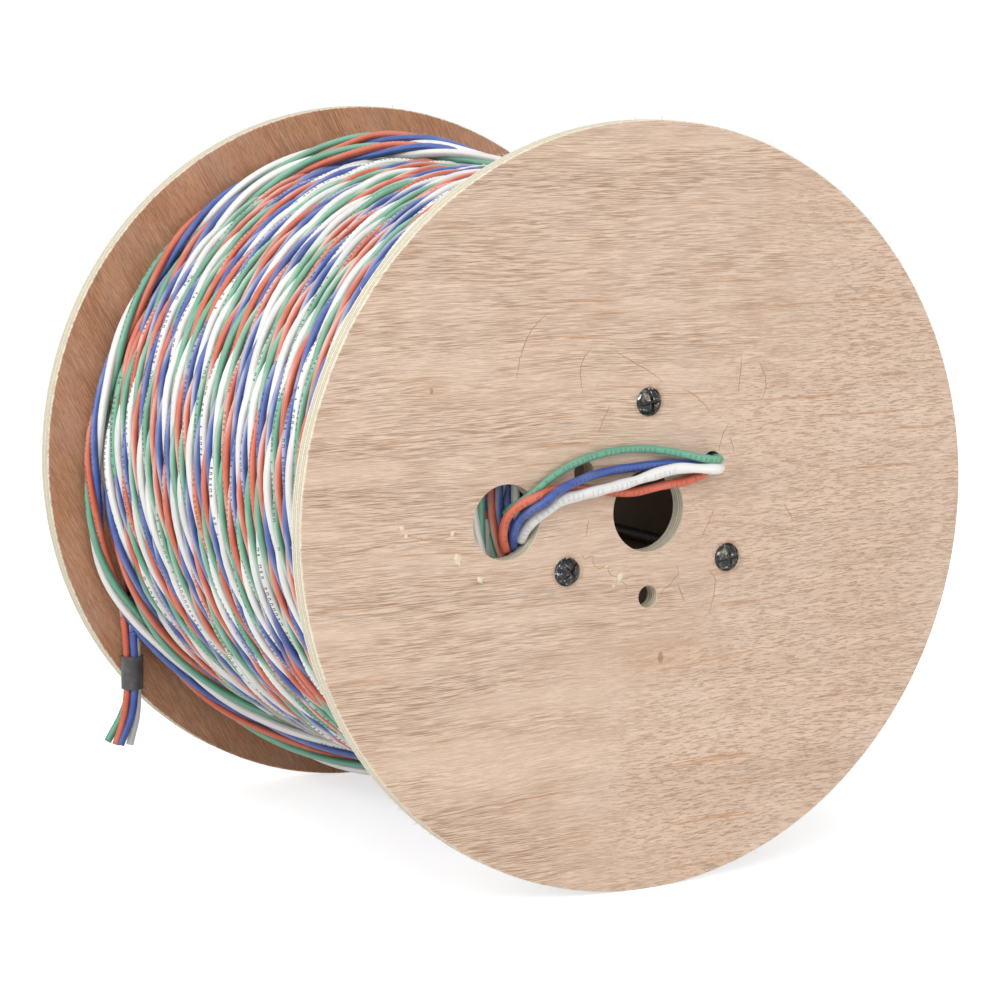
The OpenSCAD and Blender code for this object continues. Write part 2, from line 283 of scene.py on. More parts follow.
class StageSettings(bpy.types.PropertyGroup):
    """Camera and lamps of the studio stage"""

    eye: site("Camera", "Place of the camera", (-0.8146, -1.4291, 0.2208))
    target: site("Target", "Point that the camera looks at", (0.0060, 0.0, -0.0137))
    lens: FloatProperty(
        name="Lens", description="Focal length in millimetres on a 36 mm sensor", default=120.6,
        min=10, max=500)
    key: watts("Key lamp", "Power of the large lamp in front", 21.0)
    fill: watts("Fill lamp", "Power of the lamp at the front right", 14.0)
    top: watts("Top lamp", "Power of the lamp overhead", 14.0)
    side: watts("Side lamp", "Power of the lamp at the left", 21.0)


class CableDrum(bpy.types.PropertyGroup):
    """All settings of the cable drum"""

    sizes: PointerProperty(type=DrumSizes)
    colours: PointerProperty(type=DrumColours)
    stage: PointerProperty(type=StageSettings)


def unit_rows(v):
    """Each row divided by its length."""
    return v / np.linalg.norm(v, axis=-1, keepdims=True)


def within(limit, value, soft):
    """1 where the value is below the limit by soft or more, falling to 0 at the limit."""
    return np.clip((limit - value) / soft, 0, 1)


def distance_along(path):
    """Running length of a path: the sum of its steps so far."""
    steps = np.linalg.norm(np.diff(path, axis=0), axis=1)
    return np.concatenate([[0.0], np.cumsum(steps)])


def wander(s, period, seed):
    """Smooth number between about -1 and 1 that wanders along s: the sum of three sines of
    unlike periods with random starts, divided by 1.8."""
    rng = np.random.default_rng(seed)
    starts = rng.uniform(0, TURN, 3)
    periods = period * np.array([1.0, 1.63, 2.71])
    sines = [np.sin(TURN * s / p + a) for p, a in zip(periods, starts)]
    return sum(sines) / 1.8


def cubic(u, start, leave, end, arrive):
    """Cubic curve from start to end that leaves and arrives with these slopes, at shares u of
    the way."""
    return (
        (2 * u**3 - 3 * u**2 + 1) * start + (u**3 - 2 * u**2 + u) * leave
        + (3 * u**2 - 2 * u**3) * end + (u**3 - u**2) * arrive
    )


def smooth_route(points, step):
    """Curve through all points: between two of them it is the cubic whose slope at each point
    is the chord between that point's neighbours, by distance (Catmull and Rom). It is then
    read at equal steps."""
    p = np.array(points, float)
    knots = distance_along(p)
    slope = np.gradient(p, knots, axis=0)
    t = np.linspace(0, knots[-1], max(8, int(knots[-1] / step) * 4))
    i = np.clip(np.searchsorted(knots, t, side="right") - 1, 0, len(p) - 2)
    h = (knots[i + 1] - knots[i])[:, None]
    u = (t - knots[i])[:, None] / h
    dense = cubic(u, p[i], h * slope[i], p[i + 1], h * slope[i + 1])
    s = distance_along(dense)
    even = np.linspace(0, s[-1], max(4, int(round(s[-1] / step)) + 1))
    return np.stack([np.interp(even, s, dense[:, k]) for k in range(3)], axis=1)


def cross_axes(path, outward):
    """Unit vectors square to a path: the outward vector made square to it, and the one that is
    square to both."""
    ahead = unit_rows(np.gradient(path, axis=0))
    normal = unit_rows(outward - (outward * ahead).sum(1, keepdims=True) * ahead)
    return normal, np.cross(ahead, normal)


def tube(path, outward, radius, sides):
    """Grid of a round tube: point = path + radius * (cos a * normal + sin a * side), with the
    normal and side that are the path's cross axes."""
    normal, side = cross_axes(path, outward)
    a = np.arange(sides) * TURN / sides
    ring = np.cos(a)[None, :, None] * normal[:, None] + np.sin(a)[None, :, None] * side[:, None]
    radius = np.broadcast_to(np.asarray(radius, float), (len(path),))
    return path[:, None] + radius[:, None, None] * ring


def grid_faces(rows, sides, closed=True):
    """Four-cornered faces between neighbouring rings of a grid, facing outwards."""
    last = sides if closed else sides - 1
    i, k = np.meshgrid(np.arange(rows - 1), np.arange(last), indexing="ij")
    n = (k + 1) % sides
    return np.stack([i * sides + k, i * sides + n, (i + 1) * sides + n, (i + 1) * sides + k],
                    axis=-1).reshape(-1, 4)


def add_mesh(name, points, faces, uv=None, smooth=True):
    """Object at the origin with these points and faces, and a UV pair for each face corner."""
    mesh = bpy.data.meshes.new(name)
    mesh.from_pydata(points.reshape(-1, 3).tolist(), [], faces)
    if uv is not None:
        layer = mesh.uv_layers.new(name="lay")
        layer.data.foreach_set("uv", uv.astype(np.float32).ravel())
    mesh.polygons.foreach_set("use_smooth", np.full(len(mesh.polygons), smooth))
    mesh.update()
    piece = bpy.data.objects.new(name, mesh)
    bpy.context.scene.collection.objects.link(piece)
    return piece


def add_tubes(name, runs, radius, sides):
    """One object of several round tubes with flat ends. runs holds pairs of path and outward
    vectors. U is the length along the tube in metres and V goes once round it from 0 to 1."""
    points, faces, uvs, caps, cap_uvs, start = [], [], [], [], [], 0
    for path, outward in runs:
        grid = tube(path, outward, radius, sides)
        rows = len(path)
        quads = grid_faces(rows, sides)
        s = distance_along(path) + 0.37 * len(points)
        i = quads[:, [0, 3]] // sides
        k = (quads[:, 0] % sides) / sides
        u = np.stack([s[i[:, 0]], s[i[:, 0]], s[i[:, 1]], s[i[:, 1]]], axis=1)
        v = np.stack([k, k + 1 / sides, k + 1 / sides, k], axis=1)
        points.append(grid.reshape(-1, 3))
        faces.extend((quads + start).tolist())
        uvs.append(np.stack([u, v], axis=-1).reshape(-1, 2))
        caps.append(list(range(start + sides - 1, start - 1, -1)))
        caps.append(list(range(start + (rows - 1) * sides, start + rows * sides)))
        cap_uvs.append(np.tile([[s[0], 0.5]], (sides, 1)))
        cap_uvs.append(np.tile([[s[-1], 0.5]], (sides, 1)))
        start += rows * sides
    uv = np.concatenate(uvs + cap_uvs)
    return add_mesh(name, np.concatenate(points), faces + caps, uv)


def add_ribbons(name, runs, half_width):
    """One object of several narrow ribbons. Each point of a path is moved half_width * taper to
    both sides, square to the path and to its facing; the taper is sin(pi * t) to the power of
    0.4, so that both ends are pointed."""
    points, faces, start = [], [], 0
    for path, facing in runs:
        ahead = unit_rows(np.gradient(path, axis=0))
        side = unit_rows(np.cross(facing, ahead))
        t = np.linspace(0.02, 0.98, len(path))
        half = (half_width * np.sin(math.pi * t) ** 0.4)[:, None]
        grid = np.stack([path - half * side, path + half * side], axis=1)
        points.append(grid.reshape(-1, 3))
        faces.append(grid_faces(len(path), 2, closed=False)[:, ::-1] + start)
        start += 2 * len(path)
    return add_mesh(name, np.concatenate(points), np.concatenate(faces).tolist(), smooth=False)


def turned(radius, y, angle, x=0.0, z=0.0):
    """Points at this radius and angle round a line through X and Z along the drum's axis."""
    parts = np.broadcast_arrays(x + radius * np.cos(angle), y, z + radius * np.sin(angle))
    return np.stack(parts, axis=-1)


def on_drum(angle, radius, along):
    """Points at an angle, a radius and a place along the axis, and their outward vectors."""
    outward = np.stack([np.cos(angle), np.zeros_like(angle), np.sin(angle)], axis=1)
    point = outward * np.asarray(radius)[:, None]
    point[:, 1] = along
    return point, outward


def twisted(path, outward, phase, sizes, seed):
    """Middle lines of the four conductors of a bundle. Each is the bundle's line plus
    spread_out * cos(phase) outwards and spread_along * sin(phase) along the drum, a quarter
    turn apart, with a little slack of its own."""
    s = distance_along(path)
    out, side = cross_axes(path, outward)
    side *= np.sign(side[:, 1:2] + 1e-9)
    lines = []
    for n in range(4):
        a = phase + n * TURN / 4
        slack = 0.00022 * wander(s, 0.08, seed * 10 + n)
        reach = sizes.spread_out * np.cos(a) + slack
        lines.append(path + reach[:, None] * out + (sizes.spread_along * np.sin(a))[:, None] * side)
    return lines


def outer_layer(sizes):
    """Middle line of the outer layer: a helix whose turns lie side by side, pushed about
    together by slow waves over the drum, and a little each on its own. It ends low on the left
    beside the back flange, where the outer ends leave it."""
    half, per_turn = 0.133, 155
    last = math.radians(201) + TURN * 40
    angle = np.linspace(last - sizes.turns * TURN, last, int(sizes.turns * per_turn))
    run = (angle - angle[0]) / TURN
    along = 2 * half / sizes.turns * run - half
    s = run * TURN * sizes.layer_radius
    y = along * 1000
    push = 1.5 * np.sin(2 * angle + y / 38 + 0.5) + 1.0 * np.sin(3 * angle - y / 24 + 2.1)
    push += 0.8 * np.sin(5 * angle + y / 19 + 4.0)
    held = 1 - np.abs(along / 0.136) ** 6
    own = 0.35 * wander(s, 0.11, 3)
    along = along + MM * held * (push + own)
    along = np.minimum(along, 0.1325)
    heave = 0.5 * np.sin(2 * angle - y / 30 + 1.0) + 0.45 * np.sin(4 * angle + y / 21 + 3.0)
    radius = sizes.layer_radius + MM * (heave + 0.45 * wander(s, 0.13, 5)) * held
    # At the front flange the cable comes up from the layer below
    dive, reach = 0.012, 0.10
    radius -= dive * np.clip(1 - s / reach, 0, 1) ** 1.5
    return on_drum(angle, radius, along)


def tail_run(path, outward, name):
    """The last stretch of the outer layer, carried on by a cubic curve to where an outer end
    starts, so that the two join."""
    start = np.array(TAIL_ROUTES[name][0]) * MM
    ahead = unit_rows(np.array(TAIL_ROUTES[name][1]) * MM - start)
    here = path[-1]
    going = unit_rows(path[-1] - path[-3])
    gap = np.linalg.norm(start - here)
    u = np.linspace(0, 1, 12)[1:, None]
    curve = cubic(u, here, gap * going, start, gap * ahead)
    facing = unit_rows((1 - u) * outward[-1] + u * np.array([-1.0, 0, 0]))
    return np.concatenate([path, curve]), np.concatenate([outward, facing])


def end_rows(sizes, side):
    """Middle lines, outward vectors and twist phases of the turns that show on one end of the
    winding: a ring for each layer under the outer one, with a whole number of twists in it."""
    first, apart, step = 0.065, 0.00916, 0.0075
    rings = []
    for j in range(sizes.end_layers):
        radius = first + apart * j
        count = int(TURN * radius / step)
        angle = np.linspace(0, TURN, count + 1) + 0.6 * j
        wave = 0.0004 * np.sin(3 * angle + j)
        path, outward = on_drum(angle, radius + wave, np.full(count + 1, side * 0.1329))
        twists = max(1, round(TURN * radius / sizes.lay))
        rings.append((path, outward, END_PHASES[j % 4] - twists * (angle - math.pi)))
    return rings


def width_of(sizes, name):
    """Diameter of the conductor of this colour."""
    return sizes.white_conductor if name == "white" else sizes.conductor


def loose_turn(table, ahead):
    """Middle line of a loose turn, smoothed through its table, its outward vectors, and the
    phase of its twist, read from its table by the angle and averaged over 25 mm."""
    table = np.array(table, float)
    raw, _ = on_drum(np.radians(table[:, 0]), table[:, 1] * MM, table[:, 2] * MM)
    path = smooth_route(raw, 0.005)
    outward = unit_rows(path * np.array([1.0, 0, 1.0]))
    angle = np.degrees(np.arctan2(outward[:, 2], outward[:, 0])) % 360
    known = np.array(LOOSE_PHASE)
    phase = np.interp(angle, known[:, 0], known[:, 1]) + ahead
    padded = np.concatenate([np.full(2, phase[0]), phase, np.full(2, phase[-1])])
    phase = np.convolve(padded, np.full(5, 0.2), mode="valid")
    return path, outward, np.radians(phase)


def put(tree, kind, inputs=None, **settings):
    """Adds a shader node with these settings and inputs."""
    node = tree.nodes.new("ShaderNode" + kind)
    for key, value in settings.items():
        setattr(node, key, value)
    feed(node, inputs or {})
    return node


def feed(node, inputs):
    """Sets a node's inputs. Each is a value, or a Signal that the input is linked from."""
    for key, value in inputs.items():
        socket = node.inputs[key]
        if isinstance(value, Signal):
            node.id_data.links.new(value.socket, socket)
        elif socket.type == "RGBA":
            socket.default_value = (*value[:3], 1.0)
        else:
            socket.default_value = value


def operator(operation):
    """Arithmetic sign of a Signal, which adds a node of this operation."""
    return lambda signal, *others: signal.math(operation, *others)


class Signal:
    """Output of a shader node. Arithmetic on it adds Math nodes, or Vector Math nodes where it
    is a vector."""

    def __init__(self, socket):
        """Holds the output socket."""
        self.socket = socket

    __add__ = operator("ADD")
    __sub__ = operator("SUBTRACT")
    __mul__ = operator("MULTIPLY")
    __truediv__ = operator("DIVIDE")
    __lt__ = operator("LESS_THAN")
    __gt__ = operator("GREATER_THAN")
    __abs__ = operator("ABSOLUTE")

    def __rsub__(self, number):
        """The number less this signal."""
        return self.math("MULTIPLY_ADD", -1.0, number)

    def node(self, kind, inputs, output=0, **settings):
        """Output of a new node in the same tree."""
        return Signal(put(self.socket.id_data, kind, inputs, **settings).outputs[output])

    def math(self, operation, *others):
        """Result of an operation on this signal and the others."""
        values = dict(enumerate((self, *others)))
        if self.socket.type != "VECTOR":
            return self.node("Math", values, operation=operation)
        output = "Value" if operation == "LENGTH" else "Vector"
        return self.node("VectorMath", values, output, operation=operation)

    def ramp(self, low, high, to_low=0.0, to_high=1.0):
        """Smooth step from low..high to to_low..to_high, held at its ends."""
        return self.node(
            "MapRange", {"Value": self, "From Min": low, "From Max": high, "To Min": to_low,
                         "To Max": to_high}, interpolation_type="SMOOTHSTEP",
        )

    def parts(self):
        """The three parts of a vector or colour."""
        kind = "SeparateXYZ" if self.socket.type == "VECTOR" else "SeparateColor"
        return [Signal(out) for out in put(self.socket.id_data, kind, {0: self}).outputs]

    def upright(self):
        """Vector that has this number as its Z."""
        return self.node("CombineXYZ", {"Z": self})

    def random(self, output="Value"):
        """Random number or colour for each value."""
        return self.node("TexWhiteNoise", {"W": self}, output, noise_dimensions="1D")

    def noise(self, scale, detail=2.0, rough=0.5):
        """Noise at this place."""
        return self.node("TexNoise", {"Vector": self, "Scale": scale, "Detail": detail,
                                      "Roughness": rough}, "Fac")

    def grain(self, scale, detail=2.0, rough=0.5, shift=(0.0, 0.0, 0.0)):
        """Noise with a scale of its own along each axis."""
        spread = self.node("Mapping", {"Vector": self, "Scale": scale, "Location": shift})
        return spread.noise(1.0, detail, rough)

    def between(self, start, end):
        """Colour from start to end by this share."""
        return self.node("Mix", {0: self, 6: start, 7: end}, 2, data_type="RGBA")

    def shade(self, colour):
        """The colour times this number."""
        grey = self.node("CombineColor", {0: self, 1: self, 2: self})
        return self.node("Mix", {0: 1.0, 6: colour, 7: grey}, 2, data_type="RGBA",
                         blend_type="MULTIPLY")


def build_group(label, describe, inputs, outputs):
    """Shader group with the named sockets, filled by the function. An input without a default
    is a vector, and one with four numbers is a colour."""
    tree = bpy.data.node_groups.new(label, "ShaderNodeTree")
    for name, value in inputs.items():
        kind = "Vector" if value is None else "Color" if isinstance(value, tuple) else "Float"
        socket = tree.interface.new_socket(name, in_out="INPUT", socket_type="NodeSocket" + kind)
        if value is not None:
            socket.default_value = value
    for name, kind in outputs.items():
        tree.interface.new_socket(name, in_out="OUTPUT", socket_type="NodeSocket" + kind)
    given = tree.nodes.new("NodeGroupInput").outputs
    results = describe(*[Signal(given[name]) for name in inputs])
    feed(tree.nodes.new("NodeGroupOutput"), dict(zip(outputs, results)))
    return tree


def shader_group(label, outputs, **inputs):
    """Turns a function from signals to signals into one that adds the group to a tree and
    returns its outputs by name."""
    def decorate(describe):
        """Makes the function that adds the group."""
        def use(tree, **values):
            """Adds the group with these inputs; it is built on its first use."""
            group = bpy.data.node_groups.get(label) or build_group(label, describe, inputs, outputs)
            node = put(tree, "Group", values, node_tree=group)
            return {out.name: Signal(out) for out in node.outputs}
        return use
    return decorate


@shader_group(
    "Veneer grain", {"Color": "Color", "Height": "Float"}, Vector=None, Pale=(0.7, 0.5, 0.4, 1),
    Pore=(0.3, 0.2, 0.1, 1), Streak=(0.45, 0.2, 0.1, 1), Strength=0.6, Bands=0.15, Short=0.5,
)
def veneer(vector, pale, pore, streak, strength, bands, short):
    """Sawn veneer: fine dark pores drawn out along the grain, broad pale and dark bands, and a
    slow waver of both. The vector's X runs along the grain and its Z across it."""
    waver = vector.grain((4.0, 4.0, 9.0)) * 0.016 - 0.008
    small = vector.grain((18.0, 18.0, 60.0), 1.0) * 0.0018 - 0.0009
    wavy = vector + (waver + small).upright()
    long_pores = wavy.grain((62.0, 62.0, 2700.0), 2.0, 0.6).ramp(0.48, 0.6)
    short_pores = wavy.grain((200.0, 200.0, 2500.0), 2.0, 0.6).ramp(0.49, 0.63)
    held = wavy.grain((6.0, 6.0, 45.0), 3.0, 0.6).ramp(0.32, 0.62, 0.3, 1.0)
    deep = long_pores * held * (short * -0.7 + 1.0)
    pores = deep.math("MAXIMUM", short_pores * (short * 0.5 + 0.3))
    pale_lines = wavy.grain((30.0, 30.0, 1200.0), 2.0, 0.5, (9.0, 0.0, 4.0))
    broad = wavy.grain((2.2, 2.2, 75.0), 3.0, 0.6)
    tone = (broad - 0.5) * bands + 1.0 + (pale_lines - 0.5) * 0.2
    warm = wavy.grain((12.0, 12.0, 520.0), 2.0, 0.5, (3.0, 0.0, 7.0)).ramp(0.64, 0.72) * 0.6
    stained = warm.between(tone.shade(pale), streak)
    return (pores * strength).between(stained, pore), 1.0 - pores


@shader_group("Ply edge", {"Color": "Color", "Height": "Float"}, Vector=None, Depth=0.0,
              Pale=(0.8, 0.7, 0.5, 1))
def ply_edge(vector, depth, pale):
    """Cut edge of plywood: plies as bands across the sheet, of alternating tone with thin glue
    lines, and torn fibres as speckle. Depth runs through the sheet in metres."""
    torn = vector.noise(900.0, 3.0, 0.7)
    level = vector.noise(60.0) * 0.0005 + depth
    wave = (level * (math.pi / PLY)).math("SINE")
    line = abs(wave).ramp(0.0, 0.55, 0.5, 1.0)
    tone = (wave * 0.07 + 0.97) * line * torn.ramp(0.3, 0.7, 0.86, 1.06)
    return tone.shade(pale), torn * line


@shader_group("Plain marks", {"Mask": "Float"}, Vector=None, Offset=0.0)
def plain_marks(vector, offset):
    """Row of plain marks along a conductor, where the real one is printed: each cell holds one
    small hollow block, of random length, height and place. A quarter of the cells and about
    half of the stretches are bare."""
    x, y, _ = vector.parts()
    along = x + offset
    cell = along * (1 / MARK_CELL)
    inside = abs(cell.math("FRACT") - 0.5)
    index = cell.math("FLOOR")
    value = index.random()
    tall, broad, _ = index.random("Color").parts()
    stretch = (along * (1 / MARK_STRETCH)).math("FLOOR")
    swing = (along * 23.0).math("SINE") * 0.06
    off = abs((y + 0.5).math("FRACT") - 0.5 - (value * 0.03 + swing))
    high = tall * 0.035 + 0.06
    wide = broad * 0.2 + 0.13
    core = (off < high - 0.034) * (inside < wide - 0.15)
    block = (off < high) * ((inside < wide) * (1.0 - core))
    return (block * ((value > 0.25) * (stretch.random() > 0.55)),)


@shader_group("Scuffs", {"Patches": "Float", "Scrapes": "Float"}, Vector=None, Scale=60.0)
def scuffs(vector, scale):
    """Handling marks: soft patches of dust, and scattered small scrapes."""
    big = vector.noise(scale, 3.0, 0.6)
    small = vector.noise(scale * 9.0, 2.0, 0.7)
    return big.ramp(0.4, 0.7), small.ramp(0.62, 0.72) * big.ramp(0.45, 0.6)


@shader_group("Knot", {"Core": "Float", "Halo": "Float", "Lift": "Vector"}, Vector=None,
              Middle=None, Size=0.002)
def knot(vector, middle, size):
    """Small knot in veneer: a dark core, a soft brown halo, and the grain lifted round it. The
    lift at distance d is half the core's height times exp(-(d / reach) squared)."""
    away = vector - middle
    core = (away * (1.7, 0.0, 1.0)).math("LENGTH") / size
    reach = (away * (0.35, 0.0, 1.0)).math("LENGTH") / (size * 3.2)
    bell = (reach * reach * -1.0).math("EXPONENT")
    side = away.parts()[2].math("SIGN")
    return core.ramp(1.1, 0.6), bell, (bell * side * size).upright()


def new_material(name):
    """Principled material, its shader node, and the place on the surface as a signal."""
    material = bpy.data.materials.new(name)
    material.use_nodes = True
    tree = material.node_tree
    tree.nodes.clear()
    shader = put(tree, "BsdfPrincipled")
    put(tree, "OutputMaterial", {0: Signal(shader.outputs[0])})
    return material, shader, Signal(put(tree, "TexCoord").outputs["Object"])


def finish(shader, colour, rough, bump=None, more=None):
    """Feeds a Principled BSDF with its colour, its roughness, a bump of height, distance and
    strength, and any more inputs."""
    feed(shader, {"Base Color": colour, "Roughness": rough, **(more or {})})
    if bump:
        height, distance, strength = bump
        feed(shader, {"Normal": height.node("Bump", {
            "Height": height, "Distance": distance, "Strength": strength,
        })})


def from_point(place, x, z):
    """Distance in metres from the line along the drum's axis through X and Z in millimetres."""
    return ((place - (x * MM, 0, z * MM)) * (1, 0, 1)).math("LENGTH")


def wood_material(name, pale, pore, streak, edge, turn, face_y, strength, bands, knots=()):
    """Plywood: veneer on the faces, plies on the rim and hole walls, and the fibres torn paler
    along the rim. The side with knots also has painted shade in patches round its screw heads."""
    material, shader, place = new_material(name)
    tree = shader.id_data
    bent, surface_knots = place, []
    for x, z, size in knots:
        spot = knot(tree, Vector=place, Middle=(x * MM, 0, z * MM), Size=size * MM)
        bent = bent - spot["Lift"]
        surface_knots.append(spot)
    x, y, z = place.parts()
    across = place.noise(14.0) * 0.16 + (z * -0.45 + x)
    grain = veneer(
        tree, Vector=bent.node("Mapping", {"Vector": bent, "Rotation": (0, turn, 0)}), Pale=pale,
        Pore=pore, Streak=streak, Strength=strength, Bands=bands,
        Short=across.ramp(0.05, 0.17) if knots else 0.5,
    )
    facing = place.node("TexCoord", {}, "Normal").parts()[1]
    cut = abs(facing).ramp(0.55, 0.35)
    plies = ply_edge(tree, Vector=place, Depth=y - face_y, Pale=edge)
    surface = grain["Color"]
    for spot in surface_knots:
        surface = (spot["Halo"] * 0.22).between(surface, streak)
        surface = (spot["Core"] * 0.75).between(surface, pore)
    if knots:
        # Painted shade in a ring round each screw head, where it sits sunk in the face, broken into
        # patches
        painted_recess_shade = place.noise(300.0, 3.0, 0.7).ramp(0.3, 0.65)
        for x, z, _ in SCREWS.values():
            ring = from_point(place, x, z).ramp(0.0092, 0.0070)
            surface = (ring * painted_recess_shade * 0.6).between(surface, (0.36, 0.19, 0.11))
    ragged = place.noise(420.0, 3.0, 0.7) * 0.0022 + from_point(place, 0, 0)
    face = ragged.ramp(0.1780, 0.1790).between(surface, edge)
    dust = scuffs(tree, Vector=place, Scale=22.0)["Patches"] * 0.10
    worn = dust.between(face, (0.9, 0.82, 0.72))
    height = cut.node("Mix", {0: cut, 2: grain["Height"], 3: plies["Height"]})
    finish(shader, cut.between(worn, plies["Color"]), grain["Height"] * -0.12 + 0.78,
           (height, 0.00025, 0.6), {"Specular IOR Level": 0.3})
    return material


def insulation_material(name, colour, ink, offset, crease_shade, print_share, highlight_strength):
    """Smooth extruded insulation with plain printed marks, faint tone changes along it and dust.
    Painted shade darkens the side that faces the drum, where the conductors touch, and a
    painted highlight pales the side that faces out, in patches along the length."""
    material, shader, place = new_material(name)
    lay = place.node("UVMap", {}, uv_map="lay")
    marks = plain_marks(shader.id_data, Vector=lay, Offset=offset)["Mask"]
    inner = abs((lay.parts()[1] + 0.5).math("FRACT") - 0.5)
    # Painted shade: darker towards the side that faces the drum, where the conductors touch
    painted_crease_shade = inner.ramp(0.17, 0.3) * -crease_shade + 1.0
    tone = lay.grain((14.0, 0.4, 1.0)).ramp(0.3, 0.7, 0.88, 1.1) * painted_crease_shade
    dust = scuffs(shader.id_data, Vector=place, Scale=70.0)["Patches"]
    dust_and_painted_light = (dust * 0.06).between(tone.shade(colour), (0.85, 0.83, 0.8))
    # Painted highlight: paler towards the side that faces out, in patches along the length
    highlight_patches = lay.grain((34.0, 0.5, 1.0), 2.0, 0.5, (5.0, 0.0, 0.0))
    painted_highlight = inner.ramp(0.2, 0.02) * highlight_patches.ramp(0.36, 0.66, 0.1 * highlight_strength, highlight_strength)
    dust_and_painted_light = painted_highlight.between(dust_and_painted_light, (0.86, 0.83, 0.79))
    finish(shader, (marks * print_share).between(dust_and_painted_light, ink), dust * 0.16 + 0.36,
           (lay.grain((260.0, 3.0, 1.0)), 0.00012, 0.5), {"Specular IOR Level": 0.45})
    return material


def conductor_materials(colours, kind, crease_shade, highlight_strength, print_share):
    """Insulation of the four conductors, by colour name. The two strengths say how much painted
    shade darkens the inner side of each and how much painted highlight pales its outer side."""
    paints = {
        "red": (colours.red, (0.10, 0.012, 0.01), 0.0, 0.8),
        "green": (colours.green, (0.012, 0.055, 0.045), 1.31, 0.95),
        "blue": (colours.blue, (0.008, 0.012, 0.06), 2.73, 0.95),
        "white": (colours.white, (0.03, 0.035, 0.06), 4.07, 1.0 if highlight_strength else 0.4),
    }
    return {
        name: insulation_material(f"{kind}_{name}", shade, ink, offset, crease_shade,
                                  print_share * share, highlight_strength)
        for name, (shade, ink, offset, share) in paints.items()
    }


def metal_material(name, colour, roughness, scale):
    """Plated steel: dull and bright patches with fine scrapes."""
    material, shader, place = new_material(name)
    wear = scuffs(shader.id_data, Vector=place, Scale=scale)
    bright = [min(1.0, c * 2.6 + 0.1) for c in colour]
    base = (wear["Patches"] * 0.35).between(colour, bright)
    finish(shader, wear["Scrapes"].between(base, (0.75, 0.76, 0.74)),
           wear["Patches"] * 0.2 + roughness, (place.noise(scale * 12), 0.00006, 1.0),
           {"Metallic": 0.92})
    return material


def glinting_material():
    """Black zinc plate with yellowish patches and small painted glints."""
    material, shader, place = new_material("dark_zinc")
    # Painted glints: small bright patches of noise on the dark plate
    painted_glints = place.noise(480.0, 2.0, 0.6).ramp(0.57, 0.68)
    warm = place.noise(260.0).ramp(0.5, 0.65)
    dark = warm.between((0.035, 0.038, 0.042), (0.16, 0.15, 0.10))
    finish(shader, painted_glints.between(dark, (0.40, 0.42, 0.42)), warm * 0.14 + 0.24,
           (place.noise(900.0), 0.0001, 0.7), {"Metallic": 0.95})
    return material


def fibre_material(name, colour):
    """Bare torn wood fibre, mottled along its length."""
    material, shader, place = new_material(name)
    finish(shader, place.noise(700.0).between([0.72 * c for c in colour], colour), 0.85)
    return material


def board_material():
    """Spiral-wound fibre board: a helical seam each 60 mm, felt-like mottle."""
    material, shader, place = new_material("fibre_board")
    x, y, z = place.parts()
    ply = z.math("ARCTAN2", x) * (1 / TURN) + y * (1 / 0.06)
    line = abs(ply.math("FRACT") - 0.5).ramp(0.0, 0.02)
    mottle = place.noise(400.0, 4.0, 0.7)
    base = mottle.between((0.24, 0.175, 0.13), (0.40, 0.31, 0.235))
    finish(shader, line.between((0.10, 0.06, 0.04), base), 0.85, (mottle * line, 0.0002, 1.0))
    return material


def tape_material():
    """Dark vinyl tape: satin, with a fine creasing across it."""
    material, shader, place = new_material("vinyl_tape")
    creases = place.grain((300.0, 300.0, 1400.0), 3.0, 0.6)
    patches = scuffs(shader.id_data, Vector=place, Scale=120.0)["Patches"]
    finish(shader, patches.between((0.045, 0.044, 0.043), (0.11, 0.107, 0.103)),
           creases * 0.25 + 0.35, (creases, 0.00015, 1.0))
    return material


def under_layer_material(colours):
    """Turns under the outer layer, seen only in the gaps: stripes of the four insulation
    colours that lean as the twist does, darkened to 0.55 of them as painted shade."""
    material, shader, place = new_material("under_layer")
    x, y, z = place.parts()
    lean = z.math("ARCTAN2", x) * 0.0195 + y
    stripe = (lean * (1 / 0.0043)).math("FLOOR")
    node = put(shader.id_data, "ValToRGB", {0: stripe.random()})
    node.color_ramp.interpolation = "CONSTANT"
    for n, shade in enumerate((colours.red, colours.green, colours.white, colours.blue)):
        stop = node.color_ramp.elements[n] if n < 2 else node.color_ramp.elements.new(n / 4)
        stop.position = n / 4
        # Painted shade: each insulation colour at 0.55
        stop.color = (*[0.55 * c for c in shade], 1)
    finish(shader, Signal(node.outputs[0]), 0.6)
    return material


def dress(piece, material):
    """Gives a piece or CAD node this material in its first slot."""
    if not piece.material_slots:
        piece.data.materials.append(material)
    piece.material_slots[0].material = material


def settle(piece, material, slot, *stands_for):
    """Dresses a piece and fixes it to the drum, in place of the CAD nodes that it stands for."""
    dress(piece, material)
    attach(piece, "root")
    if stands_for:
        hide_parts(*stands_for)


class DRUM_OT_flanges(bpy.types.Operator):
    """Finish both flanges as bare plywood"""

    bl_idname = "cable_drum.flanges"
    bl_label = "Flanges"

    def execute(self, context):
        """The grain of the front veneer is level; that of the back one is steep."""
        colours = context.scene.cable_drum.colours
        dress(NODES["flange_front"], wood_material(
            "pale_plywood", colours.front_wood, (0.36, 0.20, 0.115), (0.55, 0.27, 0.12),
            colours.ply_edge, math.radians(0.6), -OUTER_FACE, 0.85, 0.30, KNOTS,
        ))
        dress(NODES["flange_back"], wood_material(
            "brown_plywood", colours.back_wood, (0.19, 0.082, 0.042), (0.62, 0.35, 0.21),
            colours.ply_edge, math.radians(-60), INNER_FACE, 0.95, 0.4,
        ))
        return {"FINISHED"}


